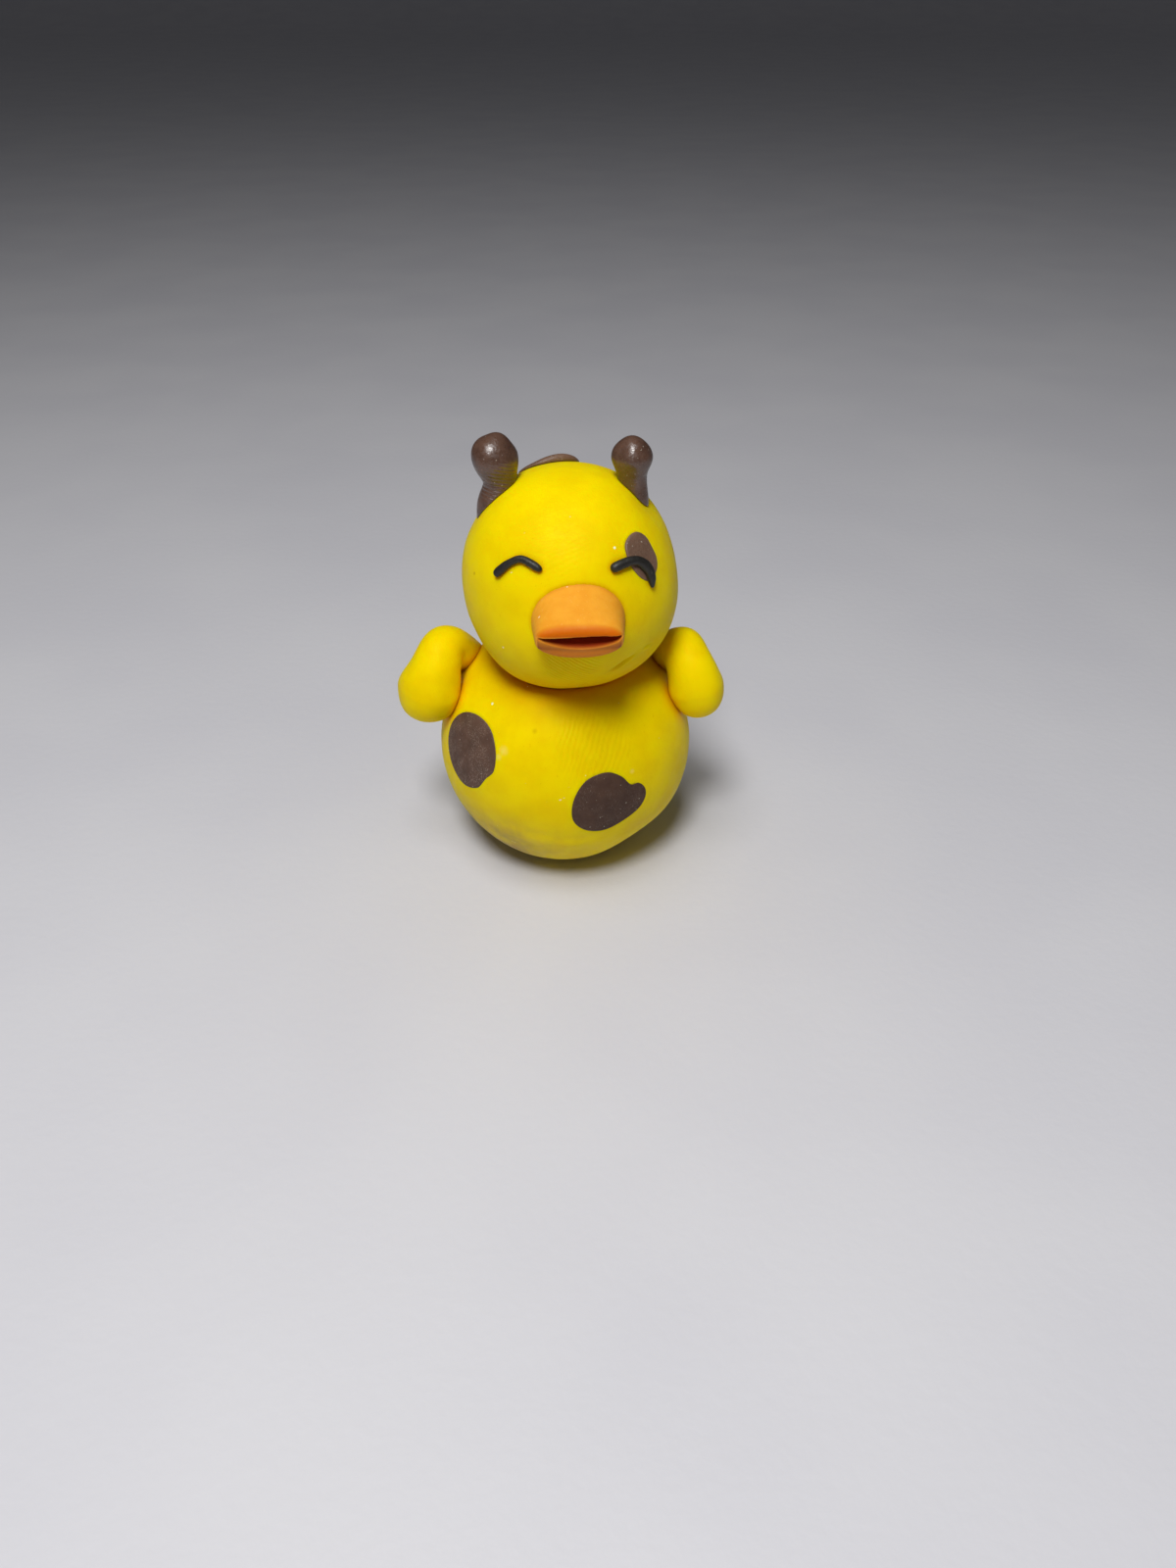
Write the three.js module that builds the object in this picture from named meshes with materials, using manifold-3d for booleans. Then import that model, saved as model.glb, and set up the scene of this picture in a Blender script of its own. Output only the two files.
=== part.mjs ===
// A small duck figure, hand modelled in coloured clay: a round body with a round head pressed on it, two
// drooping wings, a beak with a cut mouth, two bulb-topped horns, two happy eyes rolled as thin coils, and
// flat patches. Millimetres, +Z up. The duck looks along -Y, so its own left is +X. The origin is the
// middle of its flat base.

import * as THREE from "three";
import { mergeVertices } from "three/addons/utils/BufferGeometryUtils.js";
import Module from "manifold-3d";

const wasm = await Module();
wasm.setup();

// Driving dimensions. Lengths are millimetres, angles are degrees.

// Clearance left where one lump of clay is pressed against or into another.
const seatGap = 0.25;

// The body is a ball, pressed flat where it stands.
const bodyWidth = 25;
const bodyRise = 12.1;
const bodyDrop = 12.8;
const bodyFlattening = 0.6;
const bodyTaper = 0.025;
const bodySquareness = 2;

// Fingers pressed the body in on the chest, below the chin on the duck's left, and low on its left, where
// it was held. The azimuth, elevation and spread of a dent are angles on the ball it is in.
const chestDentAzimuth = 34;
const chestDentElevation = 36;
const chestDentDepth = 0.75;
const chestDentSpread = 19;
const lowDentAzimuth = 48;
const lowDentElevation = -45;
const lowDentDepth = 0.6;
const lowDentSpread = 16;

// The head is a squarer ball, sunk into the top of the body, leaning back and tipped towards the duck's
// right.
const headWidth = 19.6;
const headRise = 9.95;
const headDrop = 10.15;
const headTaper = 0.05;
const headSquareness = 2.15;
const headSink = 3.85;
const headForward = 2.2;
const headAside = 0.55;
const headLeanBack = 12;
const headTip = 5.5;

// The head was held by its two cheeks, and pressed in beside the foot of each horn.
const cheekDentAzimuth = 42;
const cheekDentElevation = -38;
const cheekDentDepth = 0.35;
const cheekDentSpread = 15;
const rightCheekDentAzimuth = -84;
const rightCheekDentElevation = -24;
const rightCheekDentDepth = 0.36;
const rightCheekDentSpread = 24;
const leftHornDentAzimuth = 78;
const leftHornDentElevation = 40;
const leftHornDentDepth = 0.4;
const leftHornDentSpread = 13;
const rightHornDentAzimuth = -82;
const rightHornDentElevation = 42;
const rightHornDentDepth = 0.3;
const rightHornDentSpread = 9;

// Each wing is a bent drop: its thin end is pressed on behind the shoulder, it bends forward over its own
// top, and its fat end hangs beside the body. Its middle line is given by azimuth and elevation on the
// body, and stands off the body by up to the stand-off.
const wingAzimuth = 78.5;
const wingTopElevation = 42;
const rightWingTipElevation = 14;
const leftWingTipElevation = 16;
const rightWingStandOff = 3.2;
const leftWingStandOff = 3;
const rightWingLobeWidth = 7.4;
const leftWingLobeWidth = 6.2;
const wingStemWidth = 4.2;
const wingRootDepth = 1.5;
const wingThicknessShare = 0.92;

// Each horn flares at its foot and ends in a bulb.
const rightHornFootWidth = 2.9;
const rightHornNeckWidth = 3.1;
const rightHornBulbWidth = 4.2;
const rightHornHeight = 5.6;
const rightHornNeckAside = 0.55;
const leftHornFootWidth = 2.6;
const leftHornNeckWidth = 2.85;
const leftHornBulbWidth = 3.85;
const leftHornHeight = 4.7;
const leftHornNeckAside = -0.06;

// How deep the first end of a horn or the beak reaches below the head's surface before it is cut back to it.
const hornRootDepth = 2;
const beakRootDepth = 1.5;

// Where the horns stand on the head.
const rightHornAzimuth = -75;
const rightHornElevation = 51.5;
const leftHornAzimuth = 78;
const leftHornElevation = 48;
const rightHornLean = 0.06;
const leftHornLean = 0.05;
// How much lower than its foot the root of the right horn lies, so that its foot trails down the head.
const rightHornTrail = 10;

// The beak is one flattened lump. Its top slopes down to a blunt upright front, and the mouth is cut in
// there, with a straight upper lip and a lower lip that sags open.
const beakAzimuth = 6.3;
const beakElevation = -9;
const beakTurn = -3;
const beakWidth = 8.1;
const beakLipWidth = 7.25;
const beakLength = 3.7;
const beakDrop = 0.4;
const beakEdgeRadius = 0.4;
// A section of the beak is an ellipse at a fullness of 1, and squarer the smaller its fullness is.
const beakRootFullness = 0.95;
const beakLipFullness = 0.55;
const beakUndersideFullness = 0.8;
const upperBillRootHeight = 3.7;
const upperBillLipHeight = 1.3;
const lowerBillRootHeight = 2.7;
const lowerBillLipHeight = 1.4;
const mouthWidth = 7;
const mouthDepth = 2.4;
const mouthOpening = 1.15;
const mouthRise = 0.6;

// Each eye is a thin coil laid in an arch, through places given by azimuth and elevation on the head. Its
// swelling is its thickness at each place as a share of its own thickness.
const rightEyeThickness = 0.74;
const leftEyeThickness = 0.86;
const rightEyePlaces = [
  [-35.3, 13.3],
  [-31.5, 16.3],
  [-26, 19.7],
  [-20.6, 21.1],
  [-15.1, 19],
  [-9.8, 15.6],
];
const leftEyePlaces = [
  [24, 12.3],
  [31, 13.9],
  [37.6, 14],
  [42.2, 11.2],
  [45.3, 6.2],
  [46.2, -0.7],
];
const rightEyeSwelling = [1.1, 1.1, 1, 1, 1.05, 1];
const leftEyeSwelling = [1.2, 1.05, 1, 1.15, 1.1, 0.6];

// Flat discs of darker clay are let into the surface. The crown's stands proud of it.
const patchThickness = 0.8;
const patchProud = 0.1;
const eyePatchProud = 0.16;
const crownPatchProud = 0.7;
const chestPatchWidth = 8.1;
const bellyPatchWidth = 7.8;
const eyePatchWidth = 3.3;
const crownPatchWidth = 5.8;

// Fineness of the faceted surfaces.
const ballDetail = 10;
const limbSteps = 20;
const limbSides = 16;
const coilSides = 8;
const beakSteps = 5;
const beakEdgeSteps = 4;
const beakSides = 36;
const mouthSteps = 12;
const patchSides = 32;

// Vector pointing out at an azimuth from the front (-Y) towards the duck's left (+X), and an elevation.
function direction(azimuth, elevation) {
  const around = THREE.MathUtils.degToRad(azimuth);
  const up = THREE.MathUtils.degToRad(elevation);
  return new THREE.Vector3(
    Math.sin(around) * Math.cos(up),
    -Math.cos(around) * Math.cos(up),
    Math.sin(up),
  );
}

// A hand-rolled ball: an egg-like round whose surface is asked for by direction, so that others can sit on
// it.
class ClayBall {
  constructor({ centre, width, rise, drop, squareness, taper, turn, dents }) {
    this.centre = centre;
    this.halfWidth = width / 2;
    this.rise = rise;
    this.drop = drop;
    this.squareness = squareness;
    this.taper = taper;
    this.turn = turn;
    this.unturn = turn.clone().invert();
    this.dents = dents;
  }

  // Distance from the centre to the surface along a unit vector in the part's frame.
  radius(outward) {
    const own = outward.clone().applyQuaternion(this.unturn);
    const across = this.halfWidth * (1 - this.taper * own.z);
    const along = own.z > 0 ? this.rise : this.drop;
    const sum =
      Math.abs(own.x / across) ** this.squareness +
      Math.abs(own.y / across) ** this.squareness +
      Math.abs(own.z / along) ** this.squareness;
    let reach = sum ** (-1 / this.squareness);
    for (const dent of this.dents) {
      const apart = THREE.MathUtils.radToDeg(own.angleTo(direction(dent.azimuth, dent.elevation)));
      reach -= dent.depth * Math.exp(-((apart / dent.spread) ** 2));
    }
    return reach;
  }

  outward(azimuth, elevation) {
    return direction(azimuth, elevation).applyQuaternion(this.turn);
  }

  // Point at a height over the surface.
  point(azimuth, elevation, height = 0) {
    const out = this.outward(azimuth, elevation);
    return out.clone().multiplyScalar(this.radius(out) + height).add(this.centre);
  }

  geometry(grow = 0) {
    const made = new THREE.IcosahedronGeometry(1, ballDetail);
    const position = made.getAttribute("position");
    const out = new THREE.Vector3();
    for (let i = 0; i < position.count; i++) {
      out.fromBufferAttribute(position, i).normalize();
      const place = out.clone().multiplyScalar(this.radius(out) + grow).add(this.centre);
      position.setXYZ(i, place.x, place.y, place.z);
    }
    return made;
  }
}

// Closed surface through rings of points, closed by a fan at each end. Rings run anticlockwise seen from
// the last.
function skin(rings, first, last) {
  const sides = rings[0].length;
  const points = [first, ...rings.flat(), last];
  const faces = [];
  for (let j = 0; j < sides; j++) {
    const next = (j + 1) % sides;
    faces.push(0, 1 + next, 1 + j);
    for (let i = 0; i < rings.length - 1; i++) {
      const near = 1 + i * sides;
      const far = near + sides;
      faces.push(near + j, near + next, far + next, near + j, far + next, far + j);
    }
    const end = 1 + (rings.length - 1) * sides;
    faces.push(points.length - 1, end + j, end + next);
  }
  return new THREE.BufferGeometry().setFromPoints(points).setIndex(faces);
}

// A rolled limb along a smooth spine. Its first end is blunt, its last is rounded.
function limb({
  spine,
  widths,
  thicknessShare = 1,
  side,
  sides = limbSides,
  bluntness = 5,
  roundStart = false,
}) {
  const curve = new THREE.CatmullRomCurve3(spine);
  const width = new THREE.SplineCurve(widths.map((value, i) => new THREE.Vector2(i, value)));
  const rings = [];
  for (let i = 0; i < limbSteps; i++) {
    const step = (i + 0.5) / limbSteps;
    const share = roundStart ? 0.5 - 0.5 * Math.cos(Math.PI * step) : Math.sin((Math.PI / 2) * step);
    const toEnd = roundStart ? Math.abs(2 * share - 1) : share;
    const half = (width.getPoint(share).y / 2) * Math.sqrt(1 - toEnd ** bluntness);
    const centre = curve.getPoint(share);
    const along = curve.getTangent(share);
    const across = side.clone().addScaledVector(along, -side.dot(along)).normalize();
    const through = along.clone().cross(across);
    rings.push(
      Array.from({ length: sides }, (_, j) => {
        const angle = (2 * Math.PI * j) / sides;
        return centre
          .clone()
          .addScaledVector(across, half * Math.cos(angle))
          .addScaledVector(through, half * thicknessShare * Math.sin(angle));
      }),
    );
  }
  return skin(rings, curve.getPoint(0), curve.getPoint(1));
}

// A disc that follows a ball's surface. Its outline is given in shares of its width from its middle, in the
// plane that touches the ball there, and its profile as pairs of share of the outline and height over the
// surface.
function disc({ ball, azimuth, elevation, width, outline, profile, grow = 0 }) {
  const out = ball.outward(azimuth, elevation);
  const up = new THREE.Vector3(0, 0, 1).applyQuaternion(ball.turn);
  up.addScaledVector(out, -up.dot(out)).normalize();
  const across = up.clone().cross(out);
  const middle = ball.point(azimuth, elevation);
  const edge = new THREE.CatmullRomCurve3(
    outline.map(([x, y]) => new THREE.Vector3(x, y, 0).multiplyScalar(width)),
    true,
  );
  const edgePoints = Array.from({ length: patchSides }, (_, j) => {
    const place = edge.getPoint(j / patchSides);
    return place.multiplyScalar(1 + grow / place.length());
  });
  const lift = (x, y, height) => {
    const place = middle.clone().addScaledVector(across, x).addScaledVector(up, y);
    const away = place.sub(ball.centre).normalize();
    return away.clone().multiplyScalar(ball.radius(away) + height).add(ball.centre);
  };
  const rings = profile.map(([share, height]) =>
    edgePoints.map((place) => lift(place.x * share, place.y * share, height)),
  );
  return skin(rings, lift(0, 0, profile[0][1]), lift(0, 0, profile.at(-1)[1]));
}

// Turns a geometry into a solid that can be joined and cut.
function solid(geometry) {
  const bare = geometry.clone();
  bare.deleteAttribute("normal");
  bare.deleteAttribute("uv");
  const merged = mergeVertices(bare, 1e-4);
  return new wasm.Manifold(
    new wasm.Mesh({
      numProp: 3,
      vertProperties: merged.getAttribute("position").array,
      triVerts: new Uint32Array(merged.index.array),
    }),
  );
}

const figure = new THREE.Group();
figure.name = "duck_figure";

function add(name, body, material) {
  const made = body.getMesh();
  const geometry = new THREE.BufferGeometry()
    .setAttribute("position", new THREE.BufferAttribute(made.vertProperties, 3))
    .setIndex(new THREE.BufferAttribute(made.triVerts, 1));
  geometry.computeVertexNormals();
  const mesh = new THREE.Mesh(geometry, material);
  mesh.name = name;
  figure.add(mesh);
}

const clay = (color, roughness) => new THREE.MeshStandardMaterial({ color, roughness, metalness: 0 });
const yellow = () => clay(0xf2cc0c, 0.5);
const orange = () => clay(0xf0a040, 0.5);
const brown = () => clay(0x5c4538, 0.4);
const black = () => clay(0x26241d, 0.35);

// Body and head
const upright = new THREE.Quaternion();
const bodyBall = new ClayBall({
  centre: new THREE.Vector3(0, 0, bodyDrop - bodyFlattening),
  width: bodyWidth,
  rise: bodyRise,
  drop: bodyDrop,
  squareness: bodySquareness,
  taper: bodyTaper,
  turn: upright,
  dents: [
    {
      azimuth: chestDentAzimuth,
      elevation: chestDentElevation,
      spread: chestDentSpread,
      depth: chestDentDepth,
    },
    {
      azimuth: lowDentAzimuth,
      elevation: lowDentElevation,
      spread: lowDentSpread,
      depth: lowDentDepth,
    },
  ],
});
const headTurn = new THREE.Quaternion().setFromEuler(
  new THREE.Euler(
    THREE.MathUtils.degToRad(-headLeanBack),
    THREE.MathUtils.degToRad(-headTip),
    0,
    "YXZ",
  ),
);
const headBall = new ClayBall({
  centre: new THREE.Vector3(headAside, -headForward, bodyRise + headDrop - headSink).add(bodyBall.centre),
  width: headWidth,
  rise: headRise,
  drop: headDrop,
  squareness: headSquareness,
  taper: headTaper,
  turn: headTurn,
  dents: [
    {
      azimuth: cheekDentAzimuth,
      elevation: cheekDentElevation,
      spread: cheekDentSpread,
      depth: cheekDentDepth,
    },
    {
      azimuth: rightCheekDentAzimuth,
      elevation: rightCheekDentElevation,
      spread: rightCheekDentSpread,
      depth: rightCheekDentDepth,
    },
    {
      azimuth: leftHornDentAzimuth,
      elevation: leftHornDentElevation,
      spread: leftHornDentSpread,
      depth: leftHornDentDepth,
    },
    {
      azimuth: rightHornDentAzimuth,
      elevation: rightHornDentElevation,
      spread: rightHornDentSpread,
      depth: rightHornDentDepth,
    },
  ],
});
const aroundBody = solid(bodyBall.geometry(seatGap));
const aroundHead = solid(headBall.geometry(seatGap));

// Patches
// Outlines in shares of each patch's width.
const roundOutline = [
  [0, 0.46],
  [0.34, 0.36],
  [0.5, 0],
  [0.36, -0.36],
  [0, -0.47],
  [-0.35, -0.36],
  [-0.5, 0],
  [-0.35, 0.35],
];
const chestPatch = {
  ball: bodyBall,
  azimuth: -47,
  elevation: 14,
  width: chestPatchWidth,
  outline: [
    [-0.03, 0.47],
    [0.22, 0.39],
    [0.38, 0.16],
    [0.4, -0.08],
    [0.31, -0.2],
    [0.26, -0.28],
    [0.19, -0.38],
    [-0.03, -0.46],
    [-0.26, -0.4],
    [-0.46, -0.24],
    [-0.57, -0.02],
    [-0.53, 0.22],
    [-0.34, 0.4],
  ],
};
const bellyPatch = {
  ball: bodyBall,
  azimuth: 20,
  elevation: -1,
  width: bellyPatchWidth,
  outline: [
    [-0.01, 0.42],
    [0.18, 0.32],
    [0.31, 0.17],
    [0.42, 0.16],
    [0.52, 0.06],
    [0.54, -0.06],
    [0.47, -0.2],
    [0.24, -0.34],
    [-0.08, -0.44],
    [-0.32, -0.37],
    [-0.46, -0.2],
    [-0.45, 0.1],
    [-0.28, 0.36],
  ],
};
const eyePatch = {
  ball: headBall,
  azimuth: 45,
  elevation: 15,
  width: eyePatchWidth,
  outline: [
    [0.03, 0.64],
    [0.27, 0.49],
    [0.4, 0.15],
    [0.48, -0.16],
    [0.4, -0.42],
    [0.03, -0.66],
    [-0.32, -0.44],
    [-0.52, 0.02],
    [-0.49, 0.4],
    [-0.25, 0.6],
  ],
};
const crownPatch = {
  ball: headBall,
  azimuth: -163,
  elevation: 69,
  width: crownPatchWidth,
  outline: roundOutline,
};

// Section of a patch let into the surface, from the middle of its face round its edge to the middle of its
// back.
const letIn = (proud, depth) => [
  [0.5, proud],
  [0.85, proud],
  [0.96, proud / 2],
  [1, -depth / 4],
  [0.96, -depth * 0.8],
  [0.85, -depth],
  [0.5, -depth],
];
// Section of the pocket that a patch sits in, which opens upwards past the surface.
const pocket = (depth) => [
  [0.5, 1],
  [1, 1],
  [1, -depth / 4],
  [0.96, -depth * 0.8],
  [0.85, -depth],
  [0.5, -depth],
];
// Section of a patch laid on the surface.
const laidOn = (proud, base) => [
  [0.5, proud],
  [0.8, proud],
  [0.93, proud * 0.86],
  [1, (proud + base) / 2],
  [0.97, base],
  [0.5, base],
];
const inlay = (patch, proud) => solid(disc({ ...patch, profile: letIn(proud, patchThickness) }));
const inlayPocket = (patch) =>
  solid(disc({ ...patch, grow: seatGap, profile: pocket(patchThickness + seatGap) }));

// Wings
function wing({ side, tipElevation, standOff, lobeWidth }) {
  const at = (back, fall, stand) =>
    bodyBall.point(
      side * (wingAzimuth + back),
      THREE.MathUtils.lerp(wingTopElevation, tipElevation, fall),
      stand * standOff,
    );
  const root = bodyBall.point(side * (wingAzimuth + 27), wingTopElevation - 9, -wingRootDepth);
  const stem = [root, at(22, 0.15, 0.2), at(16, 0.04, 0.6)];
  const lobe = [at(9, 0, 0.98), at(2, 0.15, 1.02), at(0, 0.41, 0.88), at(0, 0.58, 0.78), at(0.5, 1, 0.65)];
  const swelling = [0, 0.13, 0.51, 0.81, 1.05];
  return solid(
    limb({
      spine: [...stem, ...lobe],
      widths: [
        ...stem.map(() => wingStemWidth),
        ...swelling.map((share) => THREE.MathUtils.lerp(wingStemWidth, lobeWidth, share)),
      ],
      thicknessShare: wingThicknessShare,
      side: new THREE.Vector3(side, 0, 0.3),
      bluntness: 11,
    }),
  )
    .subtract(aroundBody)
    .subtract(aroundHead);
}

// Horns
function horn({ azimuth, elevation, trail = 0, footWidth, neckWidth, bulbWidth, height, lean, neckAside }) {
  const foot = headBall.point(azimuth, elevation);
  const rise = (share, aside = 0) =>
    foot.clone().add(new THREE.Vector3(lean * share * height + aside, 0, share * height));
  return solid(
    limb({
      spine: [
        headBall.point(azimuth, elevation - trail, -hornRootDepth),
        foot,
        rise(0.27, neckAside),
        rise(0.66),
        rise(1),
      ],
      widths: [footWidth, (footWidth + neckWidth) / 2, neckWidth, bulbWidth, bulbWidth],
      side: new THREE.Vector3(1, 0, 0),
      bluntness: 6,
    }),
  ).subtract(aroundHead);
}

// Beak
// A point of a beak section at an angle, in shares of its half width and half height.
function fullRound(angle, fullness) {
  const fuller = (value) => Math.sign(value) * Math.abs(value) ** fullness;
  return [fuller(Math.cos(angle)), fuller(Math.sin(angle))];
}

function beak() {
  const length = beakLength + beakRootDepth;
  const root = headBall.point(beakAzimuth, beakElevation, -beakRootDepth);
  const forward = headBall.outward(beakAzimuth + beakTurn, 0).setZ(0).normalize();
  const aside = new THREE.Vector3(-forward.y, forward.x, 0);
  const place = (across, ahead, height) =>
    root
      .clone()
      .addScaledVector(aside, across)
      .addScaledVector(forward, ahead)
      .add(new THREE.Vector3(0, 0, height - beakDrop));
  const ring = (ahead, inset) => {
    const share = ahead / length;
    const half = THREE.MathUtils.lerp(beakWidth, beakLipWidth, share) / 2 - inset;
    const above = THREE.MathUtils.lerp(upperBillRootHeight, upperBillLipHeight, share) - inset;
    const below = THREE.MathUtils.lerp(lowerBillRootHeight, lowerBillLipHeight, share) - inset;
    const topFullness = THREE.MathUtils.lerp(beakRootFullness, beakLipFullness, share);
    return Array.from({ length: beakSides }, (_, j) => {
      const angle = (2 * Math.PI * j) / beakSides;
      const [x, y] = fullRound(angle, Math.sin(angle) > 0 ? topFullness : beakUndersideFullness);
      return place(half * x, ahead, (y > 0 ? above : below) * y);
    });
  };
  const rings = [];
  for (let i = 0; i <= beakSteps; i++) rings.push(ring(((length - beakEdgeRadius) * i) / beakSteps, 0));
  for (let i = 1; i <= beakEdgeSteps; i++) {
    const turn = ((Math.PI / 2) * i) / beakEdgeSteps;
    rings.push(ring(length - beakEdgeRadius * (1 - Math.sin(turn)), beakEdgeRadius * (1 - Math.cos(turn))));
  }
  const lump = solid(skin(rings, place(0, 0, 0), place(0, length, 0)));

  // The mouth is a wedge, straight above and sagging below, that narrows to its corners and to its back.
  const past = 1;
  const backHeight = 0.03;
  const wedge = [];
  for (let i = 1; i < mouthSteps; i++) {
    const across = -Math.cos((Math.PI * i) / mouthSteps);
    const lens = Math.sqrt(1 - across ** 2);
    const back = length - mouthDepth * lens;
    const slope = mouthOpening / mouthDepth;
    const sag = (mouthOpening * lens + slope * past) * -1;
    wedge.push([
      place((mouthWidth / 2) * across, back, mouthRise - backHeight),
      place((mouthWidth / 2) * across, back, mouthRise),
      place((mouthWidth / 2) * across, length + past, mouthRise),
      place((mouthWidth / 2) * across, length + past, mouthRise + sag),
    ]);
  }
  const corner = (side) => place((side * mouthWidth) / 2, length + past / 2, mouthRise);
  return lump.subtract(solid(skin(wedge, corner(-1), corner(1)))).subtract(aroundHead);
}

// Eyes
function eye({ places, thickness, swelling, patch }) {
  const spine = places.map(([azimuth, elevation]) => headBall.point(azimuth, elevation, seatGap));
  let coil = solid(
    limb({
      spine,
      widths: swelling.map((share) => share * thickness),
      side: headBall.outward(...places[2]),
      sides: coilSides,
      bluntness: 8,
      roundStart: true,
    }),
  ).subtract(aroundHead);
  if (patch) coil = coil.subtract(patch);
  return coil;
}

const table = new THREE.BoxGeometry(2 * bodyWidth, 2 * bodyWidth, bodyWidth).translate(0, 0, -bodyWidth / 2);
add(
  "body",
  solid(bodyBall.geometry())
    .subtract(solid(table))
    .subtract(aroundHead)
    .subtract(inlayPocket(chestPatch))
    .subtract(inlayPocket(bellyPatch)),
  yellow(),
);
add("head", solid(headBall.geometry()).subtract(inlayPocket(eyePatch)), yellow());
add(
  "right_wing",
  wing({
    side: -1,
    tipElevation: rightWingTipElevation,
    standOff: rightWingStandOff,
    lobeWidth: rightWingLobeWidth,
  }),
  yellow(),
);
add(
  "left_wing",
  wing({
    side: 1,
    tipElevation: leftWingTipElevation,
    standOff: leftWingStandOff,
    lobeWidth: leftWingLobeWidth,
  }),
  yellow(),
);
add("beak", beak(), orange());
add(
  "right_horn",
  horn({
    azimuth: rightHornAzimuth,
    elevation: rightHornElevation,
    trail: rightHornTrail,
    footWidth: rightHornFootWidth,
    neckWidth: rightHornNeckWidth,
    bulbWidth: rightHornBulbWidth,
    height: rightHornHeight,
    lean: rightHornLean,
    neckAside: rightHornNeckAside,
  }),
  brown(),
);
add(
  "left_horn",
  horn({
    azimuth: leftHornAzimuth,
    elevation: leftHornElevation,
    footWidth: leftHornFootWidth,
    neckWidth: leftHornNeckWidth,
    bulbWidth: leftHornBulbWidth,
    height: leftHornHeight,
    lean: -leftHornLean,
    neckAside: leftHornNeckAside,
  }),
  brown(),
);
add(
  "right_eye",
  eye({
    places: rightEyePlaces,
    thickness: rightEyeThickness,
    swelling: rightEyeSwelling,
  }),
  black(),
);
const aroundEyePatch = solid(
  disc({ ...eyePatch, grow: seatGap, profile: letIn(eyePatchProud + seatGap, patchThickness) }),
);
add(
  "left_eye",
  eye({
    places: leftEyePlaces,
    thickness: leftEyeThickness,
    swelling: leftEyeSwelling,
    patch: aroundEyePatch,
  }),
  black(),
);
add("eye_patch", inlay(eyePatch, eyePatchProud), brown());
add(
  "crown_patch",
  solid(disc({ ...crownPatch, profile: laidOn(crownPatchProud, -seatGap) })).subtract(aroundHead),
  brown(),
);
add("chest_patch", inlay(chestPatch, patchProud), brown());
add("belly_patch", inlay(bellyPatch, patchProud), brown());

export default figure;
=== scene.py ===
"""Dresses the clay duck figure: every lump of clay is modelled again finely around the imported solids.

Lengths are millimetres until a mesh is made, and angles are degrees. The duck looks along -Y.
"""

import math

import bmesh
import bpy
import numpy as np
from mathutils import Euler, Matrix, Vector, noise
from mathutils.kdtree import KDTree


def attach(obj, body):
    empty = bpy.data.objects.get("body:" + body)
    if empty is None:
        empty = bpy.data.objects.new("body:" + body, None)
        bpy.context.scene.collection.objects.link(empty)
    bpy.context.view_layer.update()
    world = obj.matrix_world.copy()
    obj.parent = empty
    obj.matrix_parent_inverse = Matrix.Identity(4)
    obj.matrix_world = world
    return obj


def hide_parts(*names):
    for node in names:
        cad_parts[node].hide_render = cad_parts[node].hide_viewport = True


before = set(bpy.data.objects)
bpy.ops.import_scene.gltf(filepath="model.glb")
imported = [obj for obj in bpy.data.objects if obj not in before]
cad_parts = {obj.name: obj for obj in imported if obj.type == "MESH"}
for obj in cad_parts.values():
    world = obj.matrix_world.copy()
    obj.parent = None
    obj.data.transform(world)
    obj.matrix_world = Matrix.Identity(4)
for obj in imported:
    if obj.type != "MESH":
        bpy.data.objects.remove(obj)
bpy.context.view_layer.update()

MM = 0.001
UP = np.array([0.0, 0.0, 1.0])


# Curves and directions


def direction(azimuth, elevation):
    """Unit vector at an azimuth from the front towards the duck's left, and an elevation."""
    around = np.radians(azimuth)
    up = np.radians(elevation)
    return np.stack(
        [np.sin(around) * np.cos(up), -np.cos(around) * np.cos(up), np.sin(up)], axis=-1
    )


def unit(vectors):
    return vectors / np.linalg.norm(vectors, axis=-1, keepdims=True)


def smoothstep(low, high, value):
    share = np.clip((value - low) / (high - low), 0, 1)
    return share * share * (3 - 2 * share)


def curve_points(points, shares, closed=False):
    """Points of a smooth curve through the given points, at shares of it from 0 to 1."""
    points = np.asarray(points, float)
    count = len(points)
    made = []
    for share in shares:
        place = (count if closed else count - 1) * share
        i = int(math.floor(place))
        weight = place - i
        if not closed and i >= count - 1:
            i, weight = count - 2, 1.0
        if closed:
            p0, p1, p2, p3 = (points[(i + k) % count] for k in (-1, 0, 1, 2))
        else:
            p1, p2 = points[i], points[i + 1]
            p0 = points[i - 1] if i > 0 else 2 * p1 - p2
            p3 = points[i + 2] if i + 2 < count else 2 * p2 - p1
        d1 = max(np.linalg.norm(p2 - p1), 1e-6) ** 0.5
        d0 = np.linalg.norm(p1 - p0) ** 0.5 or d1
        d2 = np.linalg.norm(p3 - p2) ** 0.5 or d1
        t1 = ((p1 - p0) / d0 - (p2 - p0) / (d0 + d1) + (p2 - p1) / d1) * d1
        t2 = ((p2 - p1) / d1 - (p3 - p1) / (d1 + d2) + (p3 - p2) / d2) * d1
        made.append(
            p1
            + t1 * weight
            + (-3 * p1 + 3 * p2 - 2 * t1 - t2) * weight**2
            + (2 * p1 - 2 * p2 + t1 + t2) * weight**3
        )
    return np.array(made)


def widths_at(widths, shares):
    """Smoothly changing width at shares of a limb."""
    return curve_points([[i, w] for i, w in enumerate(widths)], shares)[:, 1]


def lumps(points, size, seed):
    """Soft random swelling from -1 to 1 at each point."""
    shift = Vector((seed * 17.3, seed * 7.1, seed * 3.7))
    return np.array([noise.noise(Vector(p) / size + shift) for p in points])


# Balls of clay

# Height and size of the coarse and the fine unevenness that a hand leaves on a ball
COARSE_SWELL = 0.13
COARSE_SIZE = 6.5
FINE_SWELL = 0.03
FINE_SIZE = 2.2
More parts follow.
